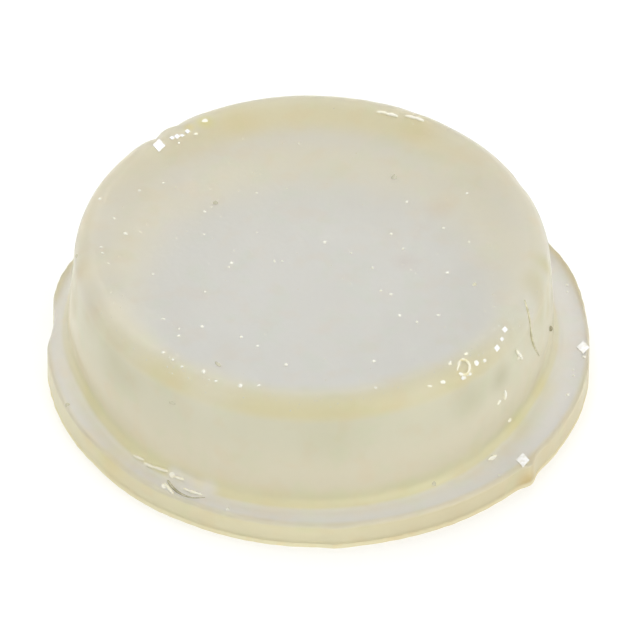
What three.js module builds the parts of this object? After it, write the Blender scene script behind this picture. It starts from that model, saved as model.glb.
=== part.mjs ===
// Self-adhesive bumper foot for cabinet doors and drawer fronts: a low round button of clear
// elastomer, moulded in one piece with a thin wider flange, and a layer of pressure-sensitive
// adhesive on the flange's flat underside.
// Millimetres, +Z up. The origin is the centre of the adhesive's lower face, on which it rests.

import * as THREE from "three";

// The flange and the adhesive are cut out together, so one diameter serves both.
const FLANGE_DIAMETER = 12.7;
const FLANGE_THICKNESS = 0.55;
const FLANGE_RIM_RADIUS = 0.08;
const ADHESIVE_THICKNESS = 0.13;

// The ledge is the flat ring of flange that shows around the foot of the button.
const LEDGE_WIDTH = 0.63;
const BASE_FILLET_RADIUS = 0.25;

const BUTTON_HEIGHT = 2.97;
const BUTTON_DRAFT_DEG = 4.6;
const BUTTON_EDGE_RADIUS = 0.5;

const SIDES_AROUND = 96;
const ARC_STEP_DEG = 15;

const flangeRadius = FLANGE_DIAMETER / 2;
const flangeBottom = ADHESIVE_THICKNESS;
const flangeTop = flangeBottom + FLANGE_THICKNESS;
const buttonBaseRadius = flangeRadius - LEDGE_WIDTH;
const buttonTop = flangeTop + BUTTON_HEIGHT;
const buttonTopRadius =
  buttonBaseRadius - BUTTON_HEIGHT * Math.tan(THREE.MathUtils.degToRad(BUTTON_DRAFT_DEG));

// A corner of the half section: distance from the axis, height, and the radius that rounds it.
function corner(fromAxis, height, rounding = 0) {
  return { at: new THREE.Vector2(fromAxis, height), rounding };
}

// The half section with an arc in place of each rounded corner, tangent to both of its sides.
function roundedSection(corners) {
  const points = [];
  corners.forEach(({ at, rounding }, i) => {
    if (rounding === 0) {
      points.push(at);
      return;
    }
    const back = corners[i - 1].at.clone().sub(at).normalize();
    const ahead = corners[i + 1].at.clone().sub(at).normalize();
    const halfAngle = Math.acos(back.dot(ahead)) / 2;
    const centre = back.clone().add(ahead).normalize();
    centre.multiplyScalar(rounding / Math.sin(halfAngle)).add(at);
    const tangent = rounding / Math.tan(halfAngle);
    const start = back.multiplyScalar(tangent).add(at).sub(centre);
    const end = ahead.multiplyScalar(tangent).add(at).sub(centre);
    const sweep = Math.atan2(start.cross(end), start.dot(end));
    const steps = Math.ceil(Math.abs(THREE.MathUtils.radToDeg(sweep)) / ARC_STEP_DEG);
    for (let step = 0; step <= steps; step++) {
      const turned = start.clone().rotateAround(new THREE.Vector2(), (sweep * step) / steps);
      points.push(turned.add(centre));
    }
  });
  return points;
}

// A solid of revolution about Z from a half section that starts and ends on the axis.
function revolved(corners) {
  const geometry = new THREE.LatheGeometry(roundedSection(corners), SIDES_AROUND);
  geometry.rotateX(Math.PI / 2);
  return geometry;
}

// The moulded body: flange and button in one piece of elastomer, solid throughout.
const bumperBody = new THREE.Mesh(
  revolved([
    corner(0, flangeBottom),
    corner(flangeRadius, flangeBottom),
    corner(flangeRadius, flangeTop, FLANGE_RIM_RADIUS),
    corner(buttonBaseRadius, flangeTop, BASE_FILLET_RADIUS),
    corner(buttonTopRadius, buttonTop, BUTTON_EDGE_RADIUS),
    corner(0, buttonTop),
  ]),
  new THREE.MeshStandardMaterial({
    color: "#d9d5bd",
    roughness: 0.35,
    metalness: 0,
    transparent: true,
    opacity: 0.7,
  }),
);
bumperBody.name = "bumper_body";

// The adhesive: a plain disc, flush with the flange's edge and bonded to its underside.
const adhesiveLayer = new THREE.Mesh(
  revolved([
    corner(0, 0),
    corner(flangeRadius, 0),
    corner(flangeRadius, flangeBottom),
    corner(0, flangeBottom),
  ]),
  new THREE.MeshStandardMaterial({
    color: "#dcd9cc",
    roughness: 0.6,
    metalness: 0,
  }),
);
adhesiveLayer.name = "adhesive_layer";

const bumperFoot = new THREE.Group();
bumperFoot.add(bumperBody, adhesiveLayer);

export default bumperFoot;
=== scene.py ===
# A self-adhesive bumper foot: a low round button moulded in one piece with a thin flange from
# clear polyurethane elastomer that has yellowed a little, with a milky adhesive layer laminated
# to its underside. It lies flange down on a white bench, dusty, with a hair stuck to its rim.

import math
import random

import bmesh
import bpy
from mathutils import Matrix, Vector, noise


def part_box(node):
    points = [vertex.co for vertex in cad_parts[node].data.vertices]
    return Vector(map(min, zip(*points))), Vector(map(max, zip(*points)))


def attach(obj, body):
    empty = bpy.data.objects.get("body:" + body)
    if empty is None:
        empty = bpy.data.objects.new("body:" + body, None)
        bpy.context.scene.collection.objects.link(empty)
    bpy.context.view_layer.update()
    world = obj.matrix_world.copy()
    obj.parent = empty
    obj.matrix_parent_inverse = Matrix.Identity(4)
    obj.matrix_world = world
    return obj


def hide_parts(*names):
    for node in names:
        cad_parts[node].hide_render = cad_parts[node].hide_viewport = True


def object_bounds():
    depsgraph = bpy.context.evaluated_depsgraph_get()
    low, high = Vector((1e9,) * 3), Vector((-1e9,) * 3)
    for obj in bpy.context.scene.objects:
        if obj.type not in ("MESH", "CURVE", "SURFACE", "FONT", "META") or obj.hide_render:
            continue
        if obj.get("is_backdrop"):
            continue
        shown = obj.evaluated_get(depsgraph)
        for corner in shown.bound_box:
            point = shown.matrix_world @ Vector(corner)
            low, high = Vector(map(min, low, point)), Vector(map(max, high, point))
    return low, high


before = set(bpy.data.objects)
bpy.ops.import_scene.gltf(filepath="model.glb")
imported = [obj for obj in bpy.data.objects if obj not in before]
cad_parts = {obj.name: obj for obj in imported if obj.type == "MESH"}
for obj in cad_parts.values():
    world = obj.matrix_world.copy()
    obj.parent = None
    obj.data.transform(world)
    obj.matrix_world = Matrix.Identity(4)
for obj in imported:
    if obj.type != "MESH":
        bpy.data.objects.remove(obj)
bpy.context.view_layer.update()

# The room: an even, pale sky light. The camera and clear or glossy surfaces see it as white.
# Everything below is in metres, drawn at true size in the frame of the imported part.
MM = 0.001
scene = bpy.context.scene
scene.view_settings.view_transform = "Standard"


def linear(hex_code):
    """An sRGB hex colour as the linear values that a shader takes."""
    channels = [int(hex_code[i : i + 2], 16) / 255 for i in (1, 3, 5)]
    bent = [c / 12.92 if c <= 0.04045 else ((c + 0.055) / 1.055) ** 2.4 for c in channels]
    return (*bent, 1.0)


def add_node(tree, kind, settings=None, links=None):
    """Adds a shader node with its settings and sockets, and links sources into its sockets."""
    node = tree.nodes.new(kind)
    for name, value in (settings or {}).items():
        if isinstance(name, int) or name in node.inputs:
            node.inputs[name].default_value = value
        else:
            setattr(node, name, value)
    for name, source in (links or {}).items():
        tree.links.new(source, node.inputs[name])
    return node


def new_material(name):
    """An empty node material, with its tree."""
    material = bpy.data.materials.new(name)
    material.use_nodes = True
    material.node_tree.nodes.clear()
    return material, material.node_tree


def show(tree, surface):
    """Joins a shader to the material's or the world's output."""
    kind = "ShaderNodeOutputWorld" if tree == scene.world.node_tree else "ShaderNodeOutputMaterial"
    add_node(tree, kind, links={"Surface": surface})


ROOM_LIGHT = 0.9
ROOM_TINT = "#fdfdff"

scene.world = bpy.data.worlds.new("studio")
scene.world.use_nodes = True
room = scene.world.node_tree
room.nodes.clear()


def seen_directly(tree):
    """1 for a ray that shows the background to the eye, straight or by way of gloss or glass."""
    rays = add_node(tree, "ShaderNodeLightPath").outputs
    seen = rays["Is Camera Ray"]
    for other in ("Is Glossy Ray", "Is Transmission Ray"):
        either = {0: seen, 1: rays[other]}
        seen = add_node(tree, "ShaderNodeMath", {"operation": "MAXIMUM"}, either).outputs[0]
    return seen


lit_to_white = {"To Min": ROOM_LIGHT, "To Max": 1.0}
level = add_node(room, "ShaderNodeMapRange", lit_to_white, {"Value": seen_directly(room)})
tinted = {"Color": linear(ROOM_TINT)}
sky = add_node(room, "ShaderNodeBackground", tinted, {"Strength": level.outputs[0]})
show(room, sky.outputs[0])

# One broad soft lamp, high and behind to the left.
LAMP_ANGLE = math.radians(50)
LAMP_STRENGTH = 0.75
LAMP_TILT = (math.radians(-38), 0, math.radians(20))
LAMP_PLACE = (0, 0, 100 * MM)

bpy.ops.object.light_add(type="SUN", location=LAMP_PLACE, rotation=LAMP_TILT)
lamp = bpy.context.object
lamp.name = "softbox"
lamp.data.energy = LAMP_STRENGTH
lamp.data.angle = LAMP_ANGLE

# A weaker, broader fill from the front right, as from a window beside the camera.
FILL_ANGLE = math.radians(60)
FILL_STRENGTH = 0.68
FILL_TILT = (math.radians(62), 0, math.radians(50))

bpy.ops.object.light_add(type="SUN", location=LAMP_PLACE, rotation=FILL_TILT)
fill = bpy.context.object
fill.name = "window_fill"
fill.data.energy = FILL_STRENGTH
fill.data.angle = FILL_ANGLE

# The bench: a plain white laminated top, far larger than the part. It shows white where it is
# seen directly, and still takes the part's soft shadow.
BENCH_SIZE = 2000 * MM
BENCH_COLOUR = "#e8e8e6"
BENCH_LIFT = 0.24

bpy.ops.mesh.primitive_plane_add(size=BENCH_SIZE, location=(0, 0, 0))
bench = bpy.context.object
bench.name = "bench"
white_laminate, tree = new_material("white_laminate")
paint = add_node(tree, "ShaderNodeBsdfDiffuse", {"Color": linear(BENCH_COLOUR)})
lift_share = {"operation": "MULTIPLY", 1: BENCH_LIFT}
lift = add_node(tree, "ShaderNodeMath", lift_share, {0: seen_directly(tree)})
glow = add_node(tree, "ShaderNodeEmission", links={"Strength": lift.outputs[0]})
lifted = add_node(tree, "ShaderNodeAddShader", links={0: paint.outputs[0], 1: glow.outputs[0]})
show(tree, lifted.outputs[0])
bench.data.materials.append(white_laminate)
bench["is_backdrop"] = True

# The camera looks down at the part from the front, from far enough to flatten it, with the
# slight roll of a hand-held shot.
VIEW_HEIGHT = math.radians(42.6)
VIEW_ROLL = math.radians(0.7)
VIEW_DISTANCE = 280 * MM
FRAME_PIXELS = 640
PIXELS_PER_MM = 43.0
PART_CENTRE_PIXEL = (319.0, 302.0)

foot_low, foot_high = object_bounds()
centre = Vector((0, 0, (foot_low[2] + foot_high[2]) / 2))
toward_camera = Vector((0, -math.cos(VIEW_HEIGHT), math.sin(VIEW_HEIGHT)))
turn = toward_camera.to_track_quat("Z", "Y") @ Matrix.Rotation(VIEW_ROLL, 3, "Z").to_quaternion()
pixel_size = MM / PIXELS_PER_MM
aim = centre + turn @ Vector(
    (
        (FRAME_PIXELS / 2 - PART_CENTRE_PIXEL[0]) * pixel_size,
        (PART_CENTRE_PIXEL[1] - FRAME_PIXELS / 2) * pixel_size,
        0,
    )
)
bpy.ops.object.camera_add(location=aim + toward_camera * VIEW_DISTANCE, rotation=turn.to_euler())
camera = bpy.context.object
camera.data.lens = camera.data.sensor_width * VIEW_DISTANCE / (FRAME_PIXELS * pixel_size)
camera.data.clip_start = 10 * MM
scene.camera = camera

# The moulded body: button and flange, one solid piece of clear polyurethane cast in a shallow
# pan and cut out with its flange, a little off the button's middle, so that the ledge is wider
# on the right. Its skin is gently uneven, and the cut edge wanders.
AROUND = 384
FLANGE_THICKNESS = 0.55 * MM
LEDGE_WIDTH = 0.63 * MM
FLANGE_RIM = 0.08 * MM
BASE_FILLET = 0.25 * MM
BUTTON_DRAFT = math.radians(4.6)
BUTTON_EDGE = 0.5 * MM
BUTTON_OFFSET = Vector((-0.18, 0, 0)) * MM
EDGE_RINGS = 4
WALL_RINGS = 16
TOP_RINGS = 14
BUTTON_EDGE_STEPS = 14
FILLET_STEPS = 8
FLANGE_RIM_STEPS = 4
SMOOTH_ANGLE = math.radians(40)
NEAR = 0.1 * MM
FACES_UP = 0.9
DISH = 0.03 * MM
DISH_SLOPE = 0.3
SWELL = 0.02 * MM
SWELL_LENGTH = 1.7 * MM
PUCKER = 0.012 * MM
PUCKER_LENGTH = 0.35 * MM
CUT_WANDER = 0.03 * MM
CUT_WAVES = 3
CUT_TREMOR = 0.018 * MM
CUT_TREMOR_LENGTH = 0.25 * MM
# The adhesive wets the body's underside, so the body reaches this far into it.
WETTING = 0.01 * MM
# Where the flange's cut edge strays: its direction in degrees, how many mm out, and the spread.
STRAYS = (
    (176, -0.14, 6), (160, 0.06, 8), (3, -0.03, 12), (27, 0.07, 12), (-40, 0.13, 2.2), (-85, 0.04, 3),
    (110, 0.06, 14),
)
# Where the foot of the button draws in, in the same measures, how high up that reaches, and
# from what share of the button's radius outwards.
FOOT_DRAWS = ((-25, -0.19, 22), (-155, -0.17, 20))
FOOT_REACH = 1.2 * MM
FOOT_START = 0.9
# Where the rim and the wall are puckered from the mould: the direction, strength and spread.
PUCKERS = ((-40, 3.0, 11), (-122, 1.6, 22), (131, 2.4, 9), (67, 1.4, 14))
# Where the rim is nicked, in the measures of the strays.
NICKS = ((134, -0.09, 2.2), (127, -0.05, 1.5), (27, -0.03, 3))

body_low, body_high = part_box("bumper_body")
flange_radius = (body_high[0] - body_low[0]) / 2
flange_top = body_low[2] + FLANGE_THICKNESS
button_top = body_high[2]
button_height = button_top - flange_top
base_radius = flange_radius - LEDGE_WIDTH
top_radius = base_radius - button_height * math.tan(BUTTON_DRAFT)


def pick(mesh_object, kind, test):
    """Selects, in edit mode, faces whose middle and normal, or edges whose ends, pass the test."""
    work = bmesh.from_edit_mesh(mesh_object.data)
    bpy.ops.mesh.select_mode(type=kind)
    bpy.ops.mesh.select_all(action="DESELECT")
    for part in work.faces if kind == "FACE" else work.edges:
        if kind == "FACE":
            part.select_set(test(part.calc_center_median(), part.normal))
        else:
            part.select_set(test(*[corner.co for corner in part.verts]))
    bmesh.update_edit_mesh(mesh_object.data)


def from_axis(point):
    return math.hypot(point[0], point[1])


def on_ring(radius, height, slack=NEAR):
    """A test for the edges of a level ring about the axis."""

    def meets(point):
        return abs(from_axis(point) - radius) < slack and abs(point.z - height) < slack

    return lambda *ends: all(meets(end) for end in ends)


def smooth_rise(value, start, end):
    """0 up to the start and 1 past the end, with a smooth rise between them."""
    share = min(max((value - start) / (end - start), 0), 1)
    return share * share * (3 - 2 * share)


def humps(point, places):
    """The sum of smooth humps that stand at the given directions about the axis."""
    direction = math.degrees(math.atan2(point.y, point.x))
    total = 0
    for middle, size, spread in places:
        off = (direction - middle + 180) % 360 - 180
        total += size * math.exp(-((off / spread) ** 2))
    return total


def reshape(mesh_object, move):
    """Moves each vertex by what move gives for its place, as fingers press clay."""
    for vertex in mesh_object.data.vertices:
        vertex.co += move(vertex.co)


def outward(point):
    return Vector((point.x, point.y, 0)).normalized()


def follow_cut_edge(point):
    """Carries a point of the flange out or in with the cut edge."""
    share = smooth_rise(from_axis(point), base_radius + BASE_FILLET, flange_radius)
    if share == 0 or point.z > flange_top + WETTING:
        return Vector()
    on_edge = outward(point) * flange_radius
    out = humps(point, STRAYS) * MM + CUT_WANDER * noise.noise(CUT_WAVES * on_edge / flange_radius)
    out += CUT_TREMOR * noise.noise(on_edge / CUT_TREMOR_LENGTH)
    return outward(point) * out * share


def settle_body(point):
    """The offset of the button, the wandering cut edge, and the dish and swells of a soft casting."""
    on_button = 1 - smooth_rise(from_axis(point), base_radius + BASE_FILLET, flange_radius - FLANGE_RIM)
    shift = BUTTON_OFFSET * on_button + follow_cut_edge(point)
    if from_axis(point) > FOOT_START * base_radius:
        low_down = 1 - smooth_rise(point.z, flange_top, flange_top + FOOT_REACH)
        shift += outward(point) * humps(point, FOOT_DRAWS) * MM * on_button * low_down
    swell = SWELL * noise.noise(Vector(point) / SWELL_LENGTH)
    if point.z > button_top - 0.5 * BUTTON_EDGE:
        inside = smooth_rise(1 - from_axis(point) / top_radius, 0, DISH_SLOPE)
        shift += Vector((0, 0, (swell - DISH) * inside))
    if point.z > flange_top + WETTING:
        near_rim = smooth_rise(from_axis(point), top_radius - 2 * BUTTON_EDGE, top_radius - BUTTON_EDGE)
        up_rim = smooth_rise(point.z, button_top - 2 * BUTTON_EDGE, button_top - 0.3 * BUTTON_EDGE)
        at_rim = near_rim * up_rim
        pucker = PUCKER * humps(point, PUCKERS) * noise.noise(Vector(point) / PUCKER_LENGTH)
        shift += outward(point) * ((swell + pucker) * near_rim + humps(point, NICKS) * MM * at_rim)
        shift += Vector((0, 0, pucker)) * at_rim
    return shift


bpy.ops.object.select_all(action="DESELECT")
bpy.ops.mesh.primitive_cylinder_add(
    vertices=AROUND,
    radius=flange_radius,
    depth=FLANGE_THICKNESS + WETTING,
    location=(0, 0, body_low[2] + (FLANGE_THICKNESS - WETTING) / 2),
)
body = bpy.context.object
body.name = "moulded_body"
bpy.ops.object.transform_apply(location=True)
bpy.ops.object.mode_set(mode="EDIT")
pick(body, "FACE", lambda middle, normal: normal.z > FACES_UP)
bpy.ops.mesh.inset(thickness=LEDGE_WIDTH)
bpy.ops.mesh.extrude_region_move(TRANSFORM_OT_translate={"value": (0, 0, button_height)})
draft = top_radius / base_radius
bpy.ops.transform.resize(value=(draft, draft, 1), center_override=(0, 0, button_top))
pick(body, "EDGE", on_ring(top_radius, button_top))
bpy.ops.mesh.bevel(offset=BUTTON_EDGE, segments=BUTTON_EDGE_STEPS, profile=0.5)
pick(body, "EDGE", on_ring(base_radius, flange_top))
bpy.ops.mesh.bevel(offset=BASE_FILLET, segments=FILLET_STEPS, profile=0.5)
pick(body, "EDGE", on_ring(flange_radius, flange_top, 0.02 * MM))
bpy.ops.mesh.bevel(offset=FLANGE_RIM, segments=FLANGE_RIM_STEPS, profile=0.5)
pick(body, "EDGE", lambda a, b: abs(a.z - b.z) > 0.5 * button_height)
bpy.ops.mesh.subdivide(number_cuts=WALL_RINGS)
pick(body, "EDGE", lambda a, b: 0.5 * FLANGE_THICKNESS < abs(a.z - b.z) < FLANGE_THICKNESS)
bpy.ops.mesh.subdivide(number_cuts=EDGE_RINGS)
for ring in range(TOP_RINGS):
    pick(body, "FACE", lambda middle, normal: normal.z > FACES_UP and from_axis(middle) < NEAR)
    bpy.ops.mesh.inset(thickness=(top_radius - BUTTON_EDGE) / (TOP_RINGS + 0.5))
bpy.ops.object.mode_set(mode="OBJECT")
reshape(body, settle_body)
bpy.ops.object.shade_smooth_by_angle(angle=SMOOTH_ANGLE)


def seen_at(pixel):
    """The place on the skin that the camera sees at a pixel, and the direction out of the skin."""
    right = (pixel[0] - FRAME_PIXELS / 2) * pixel_size
    down = (pixel[1] - FRAME_PIXELS / 2) * pixel_size
    sight = turn @ Vector((right, -down, -VIEW_DISTANCE))
    hit, place, facing, face = body.ray_cast(camera.location, sight)
    if not hit:
        raise ValueError(f"no skin at pixel {pixel}")
    return place, facing


# Cast polyurethane: clear when new, yellowed by light and air from its edges inwards, and
# a little milky. It lets most light through, and its satin skin scatters the rest. Its haze
# is uneven, in soft clouds of warmer and greener tone under a millimetre across.
# A pair of lengths from the axis says where a change of tint starts and where it ends.
TOP_TINT = "#f4f4f0"
RIM_TINT = "#f5eab2"
WALL_UPPER_TINT = "#efebcb"
WALL_LOWER_TINT = "#f9f0cf"
FILLET_TINT = "#f2edc5"
FILLET_SIDE_TINT = "#f7f3da"
FILLET_PALER = (-2.4 * MM, 0.2 * MM)
LEDGE_TINT = "#ffffff"
EDGE_TINT = "#ede6c0"
RIGHT_EDGE_TINT = "#e2d8b2"
RIGHT_CUT_TINT = "#f8ecbc"
RIGHT_EDGE = (-0.5 * MM, 3.2 * MM)
WARM_CLOUD = "#fff2e4"
GREEN_CLOUD = "#f2fff0"
CLOUD_SIZE = 0.7 * MM
CLOUD_SHARE = 0.28
CLOUD_SPAN = (0.5, 0.7)
GREEN_SHIFT = (7 * MM, 3 * MM, 5 * MM)
NOISE_SPAN = (0.3, 0.7)
SKIN_GRAIN = 0.14 * MM
SKIN_RELIEF = 0.003 * MM
SKIN_ROUGHNESS = (0.29, 0.38)
TOP_CLEAR = 0.85
RIM_CLEAR = 0.7
WALL_CLEAR = 0.65
LEDGE_CLEAR = 0.7
EDGE_CLEAR = 0.35
DEPTH_TINT = "#fffae4"
DEPTH_DENSITY = 45
FILLET_FADE = 0.07 * MM
# The back band is painted refraction: the yellowed back wall, seen from the front through the clear top,
# painted as a yellow stripe on the top's skin at the back.
PAINTED_BACK_WALL_TINT = "#f9f3d0"
BACK_BAND_RADIUS = (3.6 * MM, 4.5 * MM)
BACK_BAND_SIDE = (0.5 * MM, 3.2 * MM)
BACK_BAND_LEFT = (-1.8 * MM, -4.0 * MM)
BACK_BAND_RIGHT = (1.8 * MM, 4.2 * MM)
BACK_BAND_END_SHARE = 0.4
# The rim's sides are painted paler than its yellow front: painted light that evens out the shade left on
# them by the fill from the right.
SIDE_RIM_PAINTED_LIGHT_TINT = "#fefcf0"
LEFT_RIM_TINT = "#f7f2e0"
LEFT_RIM = (-3.0 * MM, -4.6 * MM)
SIDE_RIM_SHARE = 0.1
RIM_YELLOW_SIDE = (-4.5 * MM, -1.5 * MM)
# Where one tint of the wall gives way to the next: the first two are heights above the ledge,
# and the others are depths below the start of the rim, with the last one above it.
WALL_LOWER_FULL = 0.6 * MM
WALL_UPPER_START = 0.9 * MM
WALL_UPPER_FULL = 0.4 * MM
RIM_FADE = (0.1 * MM, 0.2 * MM)
TOP_EDGE = 0.85 * MM
CUT_TINT_WIDTH = 0.18 * MM
CUT_TINT_SHARE = 0.7
FOOT_GLOW = 0.45 * MM
FOOT_GLOW_SHARE = 0.35
# Stains and bright or dull places in the casting: pixel, reach in mm, tint and strength. The grey
# ones at (120, 365) and (500, 378) are painted shade on the wall, the second under the glints on
# its right, and the amber ones at (189, 127) and (205, 122) are painted light coming through the
# nick in the back of the rim.
STAINS_AND_PAINTED_LIGHT = (
    ((189, 127), 0.22, "#fff3a4", 0.6),
    ((205, 122), 0.34, "#fffaae", 0.7),
    ((238, 120), 0.90, "#fdf2da", 0.6),
    ((420, 128), 0.80, "#fdf0d6", 0.6),
    ((528, 480), 0.45, "#ffe8b0", 0.6),
    ((110, 462), 0.80, "#fff0c4", 0.5),
    ((88, 438), 0.50, "#ffecc4", 0.35),
    ((120, 365), 1.10, "#e4e3d2", 0.6),
    ((90, 318), 0.80, "#f0ece0", 0.6),
    ((75, 300), 0.60, "#f2ebdc", 0.6),
    ((78, 272), 0.50, "#efe7d4", 0.6),
    ((104, 288), 0.90, "#edf0fb", 0.7),
    ((92, 245), 0.90, "#eef0fa", 0.6),
    ((500, 378), 0.55, "#dcdccb", 0.7),
    ((470, 400), 0.80, "#e6e7da", 0.6),
    ((330, 438), 1.30, "#f2f3ea", 0.6),
    ((540, 385), 0.60, "#faf4d2", 0.5),
    ((515, 425), 0.60, "#faf4d2", 0.5),
    ((545, 264), 0.55, "#edead2", 0.75),
    ((540, 287), 0.72, "#ebe6cc", 0.8),
    ((541, 311), 0.65, "#ebe6cc", 0.75),
    ((548, 270), 0.40, "#f2eccf", 0.8),
    ((548, 290), 0.42, "#ede6ca", 0.85),
    ((548, 308), 0.40, "#efe8cc", 0.8),
    ((404, 262), 0.50, "#f6e9e4", 0.5),
    ((440, 208), 0.60, "#fae8d8", 0.5),
)
# Patches that stayed clearer: three on the top, where the milky adhesive shows through them a
# cooler white, three on the rim, beside its yellowest stretch, and three along the foot, behind
# the fibre on the ledge.
CLEAR_PATCHES = (
    ((190, 186), 1.00, "#f6f6fb", 0.8),
    ((160, 222), 0.90, "#f7f5fb", 0.7),
    ((486, 250), 1.20, "#fbf9f1", 0.55),
    ((210, 390), 1.20, "#fdf8de", 0.55),
    ((133, 347), 0.90, "#fdf8de", 0.5),
    ((188, 485), 0.45, "#ffffff", 1.0),
    ((176, 475), 0.36, "#ffffff", 0.9),
    ((207, 489), 0.42, "#ffffff", 0.9),
    ((422, 392), 1.00, "#fdf6d2", 0.45),
)

clear_elastomer, tree = new_material("cast_polyurethane_elastomer")
place = add_node(tree, "ShaderNodeTexCoord").outputs["Object"]
axes = add_node(tree, "ShaderNodeSeparateXYZ", links={0: place}).outputs
side, depth_back, height = axes["X"], axes["Y"], axes["Z"]


def radius_of(tree, place):
    """The distance of a place from the axis."""
    flat = add_node(tree, "ShaderNodeVectorMath", {"operation": "MULTIPLY", 1: (1, 1, 0)}, {0: place})
    length = add_node(tree, "ShaderNodeVectorMath", {"operation": "LENGTH"}, {0: flat.outputs[0]})
    return length.outputs["Value"]


def fade(tree, source, start, end, low=0.0, high=1.0):
    """A smooth change from low where the source is start to high where it is end."""
    settings = {
        "interpolation_type": "SMOOTHSTEP",
        "From Min": start,
        "From Max": end,
        "To Min": low,
        "To Max": high,
    }
    return add_node(tree, "ShaderNodeMapRange", settings, {"Value": source}).outputs[0]


def blend(tree, share, first, second, mode="MIX"):
    """The first colour where the share is 0, the second where it is 1: hex codes or sockets."""
    node = add_node(tree, "ShaderNodeMix", {"data_type": "RGBA", "blend_type": mode}, {"Factor": share})
    for socket, value in ((node.inputs[6], first), (node.inputs[7], second)):
        if isinstance(value, str):
            socket.default_value = linear(value)
        else:
            tree.links.new(value, socket)
    return node.outputs[2]


def mix_value(tree, share, first, second):
    """The first number where the share is 0, the second where it is 1: numbers or sockets."""
    node = add_node(tree, "ShaderNodeMix", links={"Factor": share})
    for socket, value in ((node.inputs["A"], first), (node.inputs["B"], second)):
        if isinstance(value, float):
            socket.default_value = value
        else:
            tree.links.new(value, socket)
    return node.outputs[0]


def clouds(tree, place, size, shift=(0.0, 0.0, 0.0)):
    """Soft uneven noise with blobs of the given size, mostly within the noise span."""
    moved = add_node(tree, "ShaderNodeVectorMath", {"operation": "ADD", 1: shift}, {0: place})
    blobs = {"Scale": 1 / size, "Detail": 2.0}
    return add_node(tree, "ShaderNodeTexNoise", blobs, {"Vector": moved.outputs[0]}).outputs[0]


def around(tree, place, pixel, reach, strength):
    """The strength at the skin that the pixel shows, fading to 0 at the reach in mm."""
    middle = seen_at(pixel)[0]
    away = add_node(tree, "ShaderNodeVectorMath", {"operation": "DISTANCE", 1: middle}, {0: place})
    return fade(tree, away.outputs["Value"], 0.0, reach * MM, strength, 0.0)


to_button = {"operation": "SUBTRACT", 1: BUTTON_OFFSET}
on_button = add_node(tree, "ShaderNodeVectorMath", to_button, {0: place})
radius = radius_of(tree, on_button.outputs[0])
rim_start = button_top - BUTTON_EDGE
fillet_tint = blend(tree, fade(tree, depth_back, *FILLET_PALER), FILLET_TINT, FILLET_SIDE_TINT)
lower_wall = fade(tree, height, flange_top + BASE_FILLET, flange_top + WALL_LOWER_FULL)
tint = blend(tree, lower_wall, fillet_tint, WALL_LOWER_TINT)
upper_wall = fade(tree, height, flange_top + WALL_UPPER_START, rim_start - WALL_UPPER_FULL)
tint = blend(tree, upper_wall, tint, WALL_UPPER_TINT)
on_rim = fade(tree, height, rim_start - RIM_FADE[0], rim_start + RIM_FADE[1])
rim_yellow = fade(tree, depth_back, *RIM_YELLOW_SIDE, 1.0, SIDE_RIM_SHARE)
# Painted light: the rim's sides paler, to even out the fill from the right.
side_rim_with_painted_light = blend(tree, fade(tree, side, *LEFT_RIM), SIDE_RIM_PAINTED_LIGHT_TINT, LEFT_RIM_TINT)
tint = blend(tree, on_rim, tint, blend(tree, rim_yellow, side_rim_with_painted_light, RIM_TINT))
on_top = fade(tree, radius, top_radius, top_radius - TOP_EDGE)
# Painted refraction: a yellow stripe on the back of the top, where the back wall shows through.
painted_back_band = fade(tree, radius, *BACK_BAND_RADIUS)
at_back = fade(tree, depth_back, *BACK_BAND_SIDE)
painted_back_band = add_node(tree, "ShaderNodeMath", {"operation": "MULTIPLY"}, {0: painted_back_band, 1: at_back}).outputs[0]
for band_end in (BACK_BAND_LEFT, BACK_BAND_RIGHT):
    share = fade(tree, side, *band_end, 1.0, BACK_BAND_END_SHARE)
    painted_back_band = add_node(tree, "ShaderNodeMath", {"operation": "MULTIPLY"}, {0: painted_back_band, 1: share}).outputs[0]
tint = blend(tree, on_top, tint, blend(tree, painted_back_band, TOP_TINT, PAINTED_BACK_WALL_TINT))
on_flange = fade(tree, height, flange_top + FILLET_FADE, flange_top + WETTING)
on_ledge = fade(tree, height, flange_top - 1.5 * FLANGE_RIM, flange_top - 0.1 * FLANGE_RIM)
from_middle = radius_of(tree, place)
near_cut = fade(tree, from_middle, flange_radius - CUT_TINT_WIDTH, flange_radius, high=CUT_TINT_SHARE)
near_foot = fade(tree, radius, base_radius, base_radius + FOOT_GLOW, FOOT_GLOW_SHARE, 0.0)
ledge_tint = blend(tree, near_foot, LEDGE_TINT, fillet_tint)
on_right = fade(tree, side, *RIGHT_EDGE)
edge_tint = blend(tree, on_right, EDGE_TINT, RIGHT_EDGE_TINT)
ledge_tint = blend(tree, near_cut, ledge_tint, blend(tree, on_right, EDGE_TINT, RIGHT_CUT_TINT))
tint = blend(tree, on_flange, tint, blend(tree, on_ledge, edge_tint, ledge_tint))
# Stains, with painted shade and painted amber light among them.
for stain_and_light_pixel, reach, stain_and_light_tint, strength in STAINS_AND_PAINTED_LIGHT:
    share = around(tree, place, stain_and_light_pixel, reach, strength)
    tint = blend(tree, share, tint, stain_and_light_tint, "MULTIPLY")
for patch_pixel, reach, patch_tint, strength in CLEAR_PATCHES:
    share = around(tree, place, patch_pixel, reach, strength)
    tint = blend(tree, share, tint, patch_tint)
warm = fade(tree, clouds(tree, place, CLOUD_SIZE), *CLOUD_SPAN, high=CLOUD_SHARE)
green = fade(tree, clouds(tree, place, CLOUD_SIZE, GREEN_SHIFT), *CLOUD_SPAN, high=CLOUD_SHARE)
tint = blend(tree, warm, tint, WARM_CLOUD, "MULTIPLY")
tint = blend(tree, green, tint, GREEN_CLOUD, "MULTIPLY")
clear = mix_value(tree, on_rim, WALL_CLEAR, RIM_CLEAR)
clear = mix_value(tree, on_top, clear, TOP_CLEAR)
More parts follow.
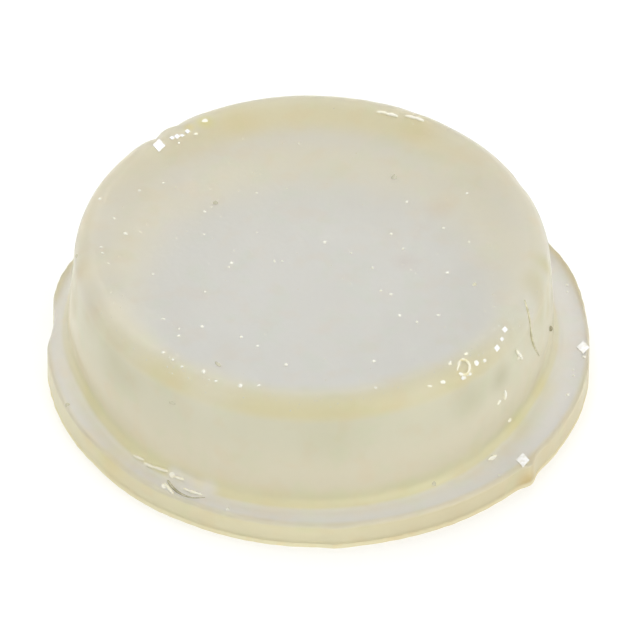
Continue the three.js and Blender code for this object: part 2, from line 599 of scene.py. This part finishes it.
clear = mix_value(tree, on_flange, clear, mix_value(tree, on_ledge, EDGE_CLEAR, LEDGE_CLEAR))
grain = clouds(tree, place, SKIN_GRAIN)
relief = add_node(tree, "ShaderNodeBump", {"Strength": 1.0, "Distance": SKIN_RELIEF}, {"Height": grain})
patchy = fade(tree, clouds(tree, place, 4 * SKIN_GRAIN), *NOISE_SPAN, *SKIN_ROUGHNESS)
skin = add_node(
    tree,
    "ShaderNodeBsdfPrincipled",
    {"IOR": 1.5},
    {"Base Color": tint, "Transmission Weight": clear, "Roughness": patchy, "Normal": relief.outputs[0]},
)
in_depth = {"Color": linear(DEPTH_TINT), "Density": DEPTH_DENSITY}
depth = add_node(tree, "ShaderNodeVolumeAbsorption", in_depth)
both = {"Surface": skin.outputs[0], "Volume": depth.outputs[0]}
add_node(tree, "ShaderNodeOutputMaterial", links=both)
body.data.materials.append(clear_elastomer)
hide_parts("bumper_body")
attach(body, "root")

# The adhesive: a layer of acrylic pressure-sensitive adhesive, milky and tacky, rolled onto the
# flange's underside and cut through together with it. Under the button's wall a cream ring is
# painted light: the yellow cast of the light that comes through the yellowed wall above it.
ADHESIVE_CENTRE = "#e0e3ed"
ADHESIVE_PAINTED_WALL_LIGHT = "#fdfaeb"
ADHESIVE_LEDGE = "#f4f2ee"
RING_START = 3.6 * MM
RING_FULL = 5.0 * MM
RING_END = 5.9 * MM
CUT_EDGE_DEPTH = 0.06 * MM
ADHESIVE_GRAIN = 0.25 * MM
ADHESIVE_RELIEF = 0.01 * MM
ADHESIVE_ROUGHNESS = (0.5, 0.7)
STREAK_SPAN = (0.45, 0.7)
STREAK_SHARE = 0.4

adhesive_low, adhesive_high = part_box("adhesive_layer")
bpy.ops.object.select_all(action="DESELECT")
bpy.ops.mesh.primitive_cylinder_add(
    vertices=AROUND,
    radius=flange_radius,
    depth=adhesive_high[2] - adhesive_low[2],
    location=(0, 0, (adhesive_low[2] + adhesive_high[2]) / 2),
)
adhesive = bpy.context.object
adhesive.name = "adhesive_sheet"
bpy.ops.object.transform_apply(location=True)
bpy.ops.object.mode_set(mode="EDIT")
pick(adhesive, "FACE", lambda middle, normal: abs(normal.z) > FACES_UP)
bpy.ops.mesh.inset(thickness=CUT_EDGE_DEPTH)
bpy.ops.object.mode_set(mode="OBJECT")
reshape(adhesive, follow_cut_edge)
bpy.ops.object.shade_smooth_by_angle(angle=SMOOTH_ANGLE)
milky_adhesive, tree = new_material("acrylic_adhesive")
place = add_node(tree, "ShaderNodeTexCoord").outputs["Object"]
radius = radius_of(tree, place)
# Painted light: the cream ring under the wall, the cast of light through the yellowed wall above.
milk = blend(tree, fade(tree, radius, RING_START, RING_FULL), ADHESIVE_CENTRE, ADHESIVE_PAINTED_WALL_LIGHT)
milk = blend(tree, fade(tree, radius, RING_FULL, RING_END), milk, ADHESIVE_LEDGE)
cut_edge = fade(tree, radius, flange_radius - 2 * CUT_EDGE_DEPTH, flange_radius - CUT_EDGE_DEPTH)
side = add_node(tree, "ShaderNodeSeparateXYZ", links={0: place}).outputs["X"]
on_right = fade(tree, side, *RIGHT_EDGE)
milk = blend(tree, cut_edge, milk, blend(tree, on_right, EDGE_TINT, RIGHT_EDGE_TINT))
streaks = clouds(tree, place, ADHESIVE_GRAIN)
in_streaks = fade(tree, streaks, *STREAK_SPAN, high=STREAK_SHARE)
milk = blend(tree, in_streaks, milk, WARM_CLOUD, "MULTIPLY")
waves = {"Strength": 1.0, "Distance": ADHESIVE_RELIEF}
relief = add_node(tree, "ShaderNodeBump", waves, {"Height": streaks})
film = add_node(
    tree,
    "ShaderNodeBsdfPrincipled",
    {"IOR": 1.47},
    {
        "Base Color": milk,
        "Roughness": fade(tree, streaks, *NOISE_SPAN, *ADHESIVE_ROUGHNESS),
        "Normal": relief.outputs[0],
    },
)
show(tree, film.outputs[0])
adhesive.data.materials.append(milky_adhesive)
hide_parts("adhesive_layer")
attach(adhesive, "root")

# A light brown hair, caught in the skin where the rim is puckered, and a thicker curled fibre on
# the ledge at the front left, a single strand of lint that thins out towards one end.
HAIR_WIDTH = 0.055 * MM
HAIR_RUNS = (
    ((524.6, 300), (526.4, 307), (528.2, 314), (529.4, 321), (530, 328)),
    ((529.8, 325), (530.4, 332), (531.6, 340), (534.4, 348), (539, 356)),
)
FIBRE_WIDTH = 0.085 * MM
FIBRE_RUNS = (
    (
        (168, 481), (169.4, 484), (172, 487.4), (176.5, 491.8),
        (182, 495), (188.5, 497.4), (195, 498.5), (205, 497.5),
    ),
)
STRAND_ROUNDNESS = 3
STRAND_LIFT = 0.3
THIN_END = 0.35
THIN_TIP = 0.15


def strands(name, runs, width, thickness):
    """Strands laid on the skin along pixels of the photo, each with its thickness from end to end."""
    curve = bpy.data.curves.new(name, "CURVE")
    curve.dimensions = "3D"
    curve.bevel_depth = width / 2
    curve.bevel_resolution = STRAND_ROUNDNESS
    curve.use_fill_caps = True
    for run in runs:
        spline = curve.splines.new("NURBS")
        spline.points.add(len(run) - 1)
        spline.order_u = 3
        spline.use_endpoint_u = True
        spline.resolution_u = 8
        for step, point in enumerate(spline.points):
            place, facing = seen_at(run[step])
            point.radius = thickness(step / (len(run) - 1))
            point.co = (*(place + facing * STRAND_LIFT * width * point.radius), 1)
    piece = bpy.data.objects.new(name, curve)
    bpy.context.collection.objects.link(piece)
    bpy.ops.object.select_all(action="DESELECT")
    piece.select_set(True)
    bpy.context.view_layer.objects.active = piece
    bpy.ops.object.convert(target="MESH")
    bpy.ops.object.shade_smooth()
    return bpy.context.object


def thin_ended(along):
    """Full thickness half way along, and thin at both ends."""
    return THIN_END + (1 - THIN_END) * math.sin(math.pi * along)


def thick_started(along):
    """Full thickness soon after the start, and from there thinner and thinner to a fine tip."""
    return THIN_TIP + (1 - THIN_TIP) * (1 - along) ** 0.8 * smooth_rise(along, -0.2, 0.2)


hair = strands("rim_hair", HAIR_RUNS, HAIR_WIDTH, thin_ended)
fibre = strands("ledge_fibre", FIBRE_RUNS, FIBRE_WIDTH, thick_started)

# Lint is grey-brown and dull, darker and lighter by turns along the strand.
LINT_DARK = "#a29c80"
LINT_PALE = "#cbc6ae"
LINT_PATCH = 0.15 * MM
LINT_RELIEF = 0.01 * MM
LINT_ROUGHNESS = (0.45, 0.7)
STRAND_TONES = (0.4, 0.65)
lint, tree = new_material("grey_lint")
place = add_node(tree, "ShaderNodeTexCoord").outputs["Object"]
patches = clouds(tree, place, LINT_PATCH)
fuzz = add_node(tree, "ShaderNodeBump", {"Strength": 1.0, "Distance": LINT_RELIEF}, {"Height": patches})
strand_skin = add_node(
    tree,
    "ShaderNodeBsdfPrincipled",
    {"IOR": 1.54},
    {
        "Base Color": blend(tree, fade(tree, patches, *STRAND_TONES), LINT_DARK, LINT_PALE),
        "Roughness": fade(tree, patches, *NOISE_SPAN, *LINT_ROUGHNESS),
        "Normal": fuzz.outputs[0],
    },
)
show(tree, strand_skin.outputs[0])
fibre.data.materials.append(lint)
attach(fibre, "root")

# The hair is keratin: smooth, light brown and a little uneven in tone along its length.
HAIR_DARK = "#c3bc98"
HAIR_PALE = "#ded8ba"
HAIR_RELIEF = 0.003 * MM
HAIR_ROUGHNESS = (0.35, 0.5)
keratin, tree = new_material("light_brown_hair")
place = add_node(tree, "ShaderNodeTexCoord").outputs["Object"]
patches = clouds(tree, place, LINT_PATCH)
scales = {"Strength": 1.0, "Distance": HAIR_RELIEF}
cuticle = add_node(tree, "ShaderNodeBump", scales, {"Height": patches})
hair_skin = add_node(
    tree,
    "ShaderNodeBsdfPrincipled",
    {"IOR": 1.55},
    {
        "Base Color": blend(tree, fade(tree, patches, *STRAND_TONES), HAIR_DARK, HAIR_PALE),
        "Roughness": fade(tree, patches, *NOISE_SPAN, *HAIR_ROUGHNESS),
        "Normal": cuticle.outputs[0],
    },
)
show(tree, hair_skin.outputs[0])
hair.data.materials.append(keratin)
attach(hair, "root")

# Pale slivers of polyurethane, laid along the skin. Most of them are painted highlights: the
# bright line along the foot at the front left, the short streaks along the back of the rim, the
# streak and the glint on the wall at the right, and the stroke beside the fibre. The others lie
# in the fibre's curl and at the foot on the front right.
SLIVER_WIDTH = 0.125 * MM
SLIVER_AND_HIGHLIGHT_RUNS = (
    ((134, 455.6), (139, 457.8), (144.5, 460.2)),
    ((145, 463.5), (150, 466), (156, 468)),
    ((155, 467), (161, 469.8), (168, 471)),
    ((165.5, 484), (168.5, 489), (173, 493.5)),
    ((175, 476.6), (179, 478.6), (184, 479.6)),
    ((184, 489), (192, 493), (202, 495)),
    ((377, 112.4), (382, 113.2), (388, 114)),
    ((386, 114.6), (392, 115.2), (398, 117)),
    ((405, 116.4), (411, 117.6), (416, 119)),
    ((414, 118), (419, 120), (424, 121.6)),
    ((504.2, 390), (504.8, 394), (504.4, 399)),
    ((515.5, 350), (518.5, 354.5), (521.5, 359)),
    ((488, 460), (492, 457.5), (496.5, 456)),
)
# Most of these slivers are painted highlights.
slivers_and_highlights = strands("flash_slivers_and_painted_highlights", SLIVER_AND_HIGHLIGHT_RUNS, SLIVER_WIDTH, thin_ended)
FLASH_AND_GLINT_PALE = "#fdfaea"
FLASH_GLINT_AND_BLISTER_YELLOW = "#f9f4dc"
FLASH_AND_GLINT_PATCH = 0.3 * MM
FLASH_GLINT_AND_BLISTER_TONES = (0.4, 0.6)
FLASH_AND_GLINT_ROUGHNESS = (0.2, 0.4)
# This material also paints the glints of the crumbs and the highlights of the slivers.
flash_and_glint, tree = new_material("polyurethane_flash_and_painted_glints")
place = add_node(tree, "ShaderNodeTexCoord").outputs["Object"]
patches = clouds(tree, place, FLASH_AND_GLINT_PATCH)
shine = add_node(
    tree,
    "ShaderNodeBsdfPrincipled",
    {"IOR": 1.5, "Transmission Weight": 0.1},
    {
        "Base Color": blend(tree, fade(tree, patches, *FLASH_GLINT_AND_BLISTER_TONES), FLASH_AND_GLINT_PALE, FLASH_GLINT_AND_BLISTER_YELLOW),
        "Roughness": fade(tree, patches, *NOISE_SPAN, *FLASH_AND_GLINT_ROUGHNESS),
    },
)
show(tree, shine.outputs[0])
slivers_and_highlights.data.materials.append(flash_and_glint)
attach(slivers_and_highlights, "root")

# Dust: cream specks of a few hundredths of a millimetre that stick to the tacky skin. The
# larger ones lie where the photo shows them, and finer ones are strewn between them.
SPECK_SIZE = 0.068 * MM
# Each speck: its pixel across and down, and its size against the one above.
SPECKS = (
    (163.4, 183.2, 1.2), (139.3, 190.6, 1.0), (99.7, 199.3, 1.1), (114, 218.3, 0.9), (125.4, 233.9, 1.6),
    (140.2, 231.7, 0.9), (101, 247.4, 1.1), (102.5, 253, 1.1), (108.4, 263.5, 0.8), (212, 206.7, 0.8),
    (204.6, 211.7, 1.0), (204, 234.4, 0.8), (234.2, 250.5, 0.9), (231.4, 263.1, 1.4), (229, 267, 1.0),
    (274.5, 261.2, 1.1), (282.3, 261.2, 1.0), (324.8, 242.4, 1.3), (152.8, 274.2, 0.9), (205.2, 291.8, 0.8),
    (299.3, 143.3, 1.1), (256.4, 192.8, 0.8), (286.9, 189.1, 0.8), (260, 174.3, 0.8), (406.8, 201.9, 1.3),
    (467, 193.4, 1.4), (390.9, 234, 1.0), (403.3, 248.9, 1.0), (351.3, 253.1, 0.8), (372.3, 267.9, 1.0),
    (447.3, 272.8, 1.2), (380.9, 290.8, 1.1), (390.9, 294.3, 1.2), (443.5, 228.3, 0.9), (468.9, 242.2, 0.8),
    (566.9, 285.1, 1.2), (567.3, 292, 1.0), (399.5, 315.5, 1.1), (438.4, 315.1, 1.2), (417, 322, 1.1),
    (163.5, 319.1, 1.3), (179, 328.7, 0.9), (178.7, 336, 1.3), (202, 326.8, 1.4), (241, 337, 1.1),
    (257.5, 346, 1.1), (286, 365, 1.5), (373.7, 361.2, 1.5), (375.6, 388, 1.0), (203.7, 372, 1.6),
    (182, 367, 1.2), (173, 360, 1.3), (163, 352.7, 1.2), (240.3, 386, 1.4), (259, 385.6, 1.1),
    (215.7, 381, 1.0), (227.7, 509, 1.3), (573, 370.2, 0.9), (573.6, 375.6, 0.8), (567.8, 395.1, 1.3),
    (499, 475, 0.9), (450.2, 362.2, 1.2), (484.2, 360.8, 1.5), (178.7, 142.9, 1.3), (584, 357, 1.3),
)
FINE_SPECKS = 90
RIM_SPECKS = 80
RIM_SPECK_BEARINGS = (-155, -25)
RIM_SPECK_BAND = (0.05, 0.4)
FINE_SPECK_SIZE = (0.25, 0.55)
SPECK_MARGIN = 0.2 * MM
SPECK_STRETCH = (0.7, 1.25)
SPECK_SEED = 41

random.seed(SPECK_SEED)
bpy.ops.object.select_all(action="DESELECT")
bpy.ops.mesh.primitive_ico_sphere_add(subdivisions=1, radius=SPECK_SIZE / 2, location=(0, 0, 0))
first_speck = bpy.context.object
first_speck.name = "white_dust"


def copies_at(pattern, places):
    """Copies of a small pattern piece: each place gives where it lies, its turn and its stretch."""
    made = []
    for where, turned, stretch in places:
        copy = pattern.copy()
        copy.data = pattern.data.copy()
        copy.matrix_world = Matrix.Translation(where) @ turned.to_4x4() @ Matrix.Diagonal((*stretch, 1))
        bpy.context.collection.objects.link(copy)
        made.append(copy)
    return made


def joined(pattern, made):
    """Joins the copies into one piece named for the pattern, which goes."""
    name = pattern.name
    bpy.data.objects.remove(pattern)
    bpy.ops.object.select_all(action="DESELECT")
    for copy in made:
        copy.select_set(True)
    bpy.context.view_layer.objects.active = made[0]
    bpy.ops.object.join()
    piece = bpy.context.object
    piece.name = name
    bpy.ops.object.transform_apply(location=True, rotation=True, scale=True)
    return piece


def crumb(facing, size):
    """The chance turn and uneven stretch of a crumb of the given size on skin that faces this way."""
    stretch = [size * random.uniform(*SPECK_STRETCH) for _ in range(3)]
    spin = Matrix.Rotation(random.uniform(0, math.tau), 3, "Z")
    return facing.to_track_quat("Z", "Y").to_matrix() @ spin, stretch


def along_picture(facing, angle):
    """The turn of a piece that faces this way, with its length at an angle in the picture."""
    along = turn @ Vector((math.cos(math.radians(angle)), math.sin(math.radians(angle)), 0))
    along = (along - facing * along.dot(facing)).normalized()
    return Matrix((along, facing.cross(along), facing)).transposed()


DULL_RELIEF = 0.01 * MM
DULL_ROUGHNESS = (0.6, 0.9)
DULL_TONES = (0.35, 0.65)


def dull_matter(name, pale, dark, patch_size):
    """Dust, paper or dirt: dull, paler and darker in small patches, and slightly rough."""
    material, tree = new_material(name)
    place = add_node(tree, "ShaderNodeTexCoord").outputs["Object"]
    patches = clouds(tree, place, patch_size)
    grains = {"Strength": 1.0, "Distance": DULL_RELIEF}
    rough = add_node(tree, "ShaderNodeBump", grains, {"Height": patches})
    powder = add_node(
        tree,
        "ShaderNodeBsdfPrincipled",
        {"IOR": 1.5},
        {
            "Base Color": blend(tree, fade(tree, patches, *DULL_TONES), pale, dark),
            "Roughness": fade(tree, patches, *NOISE_SPAN, *DULL_ROUGHNESS),
            "Normal": rough.outputs[0],
        },
    )
    show(tree, powder.outputs[0])
    return material


def skin_under(middle, bearing, out):
    """The place on the skin straight below a point at a bearing, and the direction out of the skin."""
    above = middle + Vector((out * math.cos(bearing), out * math.sin(bearing), 2 * button_top))
    hit, where, facing, face = body.ray_cast(above, Vector((0, 0, -1)))
    return where, facing


places = []
for across, down, size in SPECKS:
    where, facing = seen_at((across, down))
    places.append((where, *crumb(facing, size)))
for speck in range(FINE_SPECKS):
    bearing = random.uniform(0, math.tau)
    out = (top_radius - SPECK_MARGIN) * math.sqrt(random.random())
    where, facing = skin_under(Vector(), bearing, out)
    places.append((where, *crumb(facing, random.uniform(*FINE_SPECK_SIZE))))
for speck in range(RIM_SPECKS):
    bearing = math.radians(random.uniform(*RIM_SPECK_BEARINGS))
    out = top_radius - random.uniform(*RIM_SPECK_BAND) * MM
    where, facing = skin_under(BUTTON_OFFSET, bearing, out)
    places.append((where, *crumb(facing, random.uniform(*FINE_SPECK_SIZE))))
dust = joined(first_speck, copies_at(first_speck, places))

# Household dust is skin, fibre and grit ground fine: dull, and cream rather than white.
DUST_PALE = "#f3f1e6"
DUST_DARK = "#e9e7da"
DUST_PATCH = 0.1 * MM
dust.data.materials.append(dull_matter("household_dust", DUST_PALE, DUST_DARK, DUST_PATCH))
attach(dust, "root")

# Grit: one dark mineral crumb on the wall, stuck to the tacky skin, and flat smears where such
# crumbs were rubbed into it, five of them hardly darker than the skin itself.
GRIT_SIZE = 0.09 * MM
GRIT_UNEVEN = 0.25
GRIT_LUMP = 0.3 * GRIT_SIZE
GRIT = (
    (550, 328.7, 1.4, 1.0, 0),
)
SMEARS = (
    (394.4, 177.8, 1.7, 1.0, 0), (215.7, 203.2, 1.5, 0.8, 0), (218.5, 365, 2.4, 0.4, -50),
)
FAINT_SMEARS = (
    (434, 483.7, 1.2, 1.0, 0), (77, 256, 1.0, 1.0, 0), (474.8, 284.7, 1.2, 1.0, 0),
    (173, 402.8, 2.0, 0.5, 0), (67.4, 404.8, 1.3, 0.8, 60),
)
# Cream crumbs of pale polyurethane: around the burst bubble, down the front right of the wall, on
# the back of the rim at the left, and beside the fibre. Most of them are painted glints, set where the skin
# glints.
GLINT_AND_FLASH_CRUMBS = (
    (466, 354, 1.2, 0.7, 20), (476, 363, 1.8, 0.8, 0), (484.5, 360.5, 1.2, 0.8, 30),
    (459, 364, 1.4, 0.6, 70), (461, 374, 1.6, 0.5, -20), (470, 374, 1.2, 0.7, 10),
    (464, 377.5, 1.6, 0.6, -10), (450, 364, 1.0, 0.8, 0), (504.5, 396, 1.6, 0.5, 80),
    (499, 402, 1.6, 0.5, 60), (509, 420, 1.6, 0.8, 0), (491, 459, 2.2, 0.6, 20),
    (519, 356, 2.0, 0.7, 50), (443, 382, 1.6, 0.6, 0), (430, 386, 1.4, 0.5, -10),
    (205, 121, 1.8, 0.7, 20), (196, 134, 1.2, 0.6, 20), (164, 487, 2.0, 0.6, -70),
    (172.5, 475.4, 2.0, 0.7, -35),
)
GRIT_HEIGHT = 0.9
SMEAR_HEIGHT = 0.3


def crumbs(name, spots, thickness):
    """Crumbs at pixels: each with its length, its width to that, and its turn in the picture."""
    bpy.ops.object.select_all(action="DESELECT")
    bpy.ops.mesh.primitive_ico_sphere_add(subdivisions=2, radius=GRIT_SIZE / 2, location=(0, 0, 0))
    pattern = bpy.context.object
    pattern.name = name
    reshape(pattern, lambda point: GRIT_UNEVEN * point * noise.noise(Vector(point) / GRIT_LUMP))
    places = []
    for across, down, length, slimness, angle in spots:
        where, facing = seen_at((across, down))
        facing = (facing + toward_camera).normalized()
        raised = where + facing * thickness * GRIT_SIZE / 4
        places.append((raised, along_picture(facing, angle), (length, length * slimness, thickness)))
    return joined(pattern, copies_at(pattern, places))


grit = crumbs("dark_grit", GRIT, GRIT_HEIGHT)
smears = crumbs("grey_smears", SMEARS, SMEAR_HEIGHT)
faint_smears = crumbs("faint_smears", FAINT_SMEARS, SMEAR_HEIGHT)
# Mostly painted glints, in pale polyurethane.
glint_and_flash_crumbs = crumbs("glint_and_flash_crumbs", GLINT_AND_FLASH_CRUMBS, SMEAR_HEIGHT)
glint_and_flash_crumbs.data.materials.append(flash_and_glint)
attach(glint_and_flash_crumbs, "root")
SOIL_PATCH = 0.06 * MM
for piece, soil, pale, dark in (
    (grit, "mineral_grit", "#a8a288", "#8f896c"),
    (smears, "rubbed_in_dirt", "#c9c5b0", "#b5b19a"),
    (faint_smears, "faint_dirt", "#d2ceb5", "#cbc7ad"),
):
    piece.data.materials.append(dull_matter(soil, pale, dark, SOIL_PATCH))
    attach(piece, "root")

# White flakes, thin and nearly square, stuck to the skin by a face or by an edge. They are the
# brightest thing on it, and three of them are large: those three are paper lint, and the smaller
# ones on the right of the rim and at the back left of the rim are painted glints.
FLAKE_SIDES = 16
FLAKE_SIZE = 0.3 * MM
FLAKE_THICKNESS = 0.02 * MM
FLAKE_SQUARENESS = 1.1
FLAKE_LEAN = 1.4
LIES_FLAT = 0.95
LEAST_SEEN = 0.5
FLAKE_WHITE = "#ffffff"
FLAKE_GREY = "#f0efea"
FLAKE_PATCH = 0.1 * MM
# Each flake: its pixel, its width against the size above, and its height to its width as seen.
FLAKES_AND_GLINTS = (
    ((159, 146), 1.0, 1.05), ((583, 348), 1.0, 1.0), ((522.9, 460.7), 1.0, 1.1),
    ((504.7, 329.7), 0.5, 1.0), ((501.8, 339.2), 0.36, 1.0), ((496.7, 348.2), 0.5, 1.1),
    ((476.4, 363.1), 0.38, 1.1), ((467.4, 373.7), 0.32, 1.1), ((462.6, 378), 0.3, 1.2),
    ((172, 138.5), 0.42, 0.7), ((177, 137), 0.5, 0.8), ((182, 136), 0.4, 0.6),
    ((187.5, 132), 0.45, 0.8),
)
bpy.ops.object.select_all(action="DESELECT")
bpy.ops.mesh.primitive_cylinder_add(
    vertices=FLAKE_SIDES, radius=FLAKE_SIZE / 2, depth=FLAKE_THICKNESS, location=(0, 0, 0)
)
first_flake = bpy.context.object
first_flake.name = "lint_flakes_and_painted_glints"


def square_off(point):
    """Draws a round disc towards a square with its corners up, down and to the sides."""
    round_radius = from_axis(point)
    if round_radius == 0:
        return Vector()
    square_radius = round_radius ** 2 / (abs(point.x) + abs(point.y))
    return outward(point) * FLAKE_SQUARENESS * (square_radius - round_radius)


reshape(first_flake, square_off)
places = []
for flake_and_glint_pixel, size, length in FLAKES_AND_GLINTS:
    where, facing = seen_at(flake_and_glint_pixel)
    lean = 0 if facing.z > LIES_FLAT else FLAKE_LEAN
    tilt = (facing + lean * toward_camera).normalized()
    seen_share = max(tilt.dot(toward_camera), LEAST_SEEN)
    stretch = (size, size * length / seen_share, 1.0)
    places.append((where + tilt * FLAKE_THICKNESS, along_picture(tilt, 0), stretch))
# White pieces, most of them painted glints.
flakes = joined(first_flake, copies_at(first_flake, places))
flakes.data.materials.append(dull_matter("paper_lint_and_painted_glints", FLAKE_WHITE, FLAKE_GREY, FLAKE_PATCH))
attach(flakes, "root")

# A burst bubble on the rim, where air in the casting broke through its skin: a shallow, uneven
# ring of the same polyurethane, thicker at its lip and so a little yellower.
BUBBLE_PIXEL = (463.6, 367.9)
BUBBLE_RADIUS = 0.15 * MM
BUBBLE_LIP = 0.028 * MM
BUBBLE_UNEVEN = 0.05 * MM
BUBBLE_SEED = 1
BUBBLE_LEAN = 0.5
BUBBLE_STRETCH = (1, 1.15, 0.8)
bpy.ops.object.select_all(action="DESELECT")
bpy.ops.mesh.primitive_torus_add(
    major_radius=BUBBLE_RADIUS,
    minor_radius=BUBBLE_LIP,
    major_segments=48,
    minor_segments=12,
    location=(0, 0, 0),
)
bubble_ring = bpy.context.object
bubble_ring.name = "burst_bubble"
where, facing = seen_at(BUBBLE_PIXEL)
# Unseeded, noise_vector takes its offsets from the clock, and the ring differs at every run.
noise.seed_set(BUBBLE_SEED)
reshape(bubble_ring, lambda point: BUBBLE_UNEVEN * noise.noise_vector(Vector(point) / BUBBLE_RADIUS))
tilt = (facing + BUBBLE_LEAN * toward_camera).normalized()
settled = (where, along_picture(tilt, 0), BUBBLE_STRETCH)
bubble = joined(bubble_ring, copies_at(bubble_ring, [settled]))
bpy.ops.object.shade_smooth()
BUBBLE_TINT = "#ece2b2"
BUBBLE_PATCH = 0.12 * MM
BUBBLE_ROUGHNESS = (0.3, 0.5)
blister, tree = new_material("blistered_polyurethane")
place = add_node(tree, "ShaderNodeTexCoord").outputs["Object"]
patches = clouds(tree, place, BUBBLE_PATCH)
gloss = add_node(
    tree,
    "ShaderNodeBsdfPrincipled",
    {"IOR": 1.5, "Transmission Weight": 0.1},
    {
        "Base Color": blend(tree, fade(tree, patches, *FLASH_GLINT_AND_BLISTER_TONES), BUBBLE_TINT, FLASH_GLINT_AND_BLISTER_YELLOW),
        "Roughness": fade(tree, patches, *NOISE_SPAN, *BUBBLE_ROUGHNESS),
    },
)
show(tree, gloss.outputs[0])
bubble.data.materials.append(blister)
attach(bubble, "root")
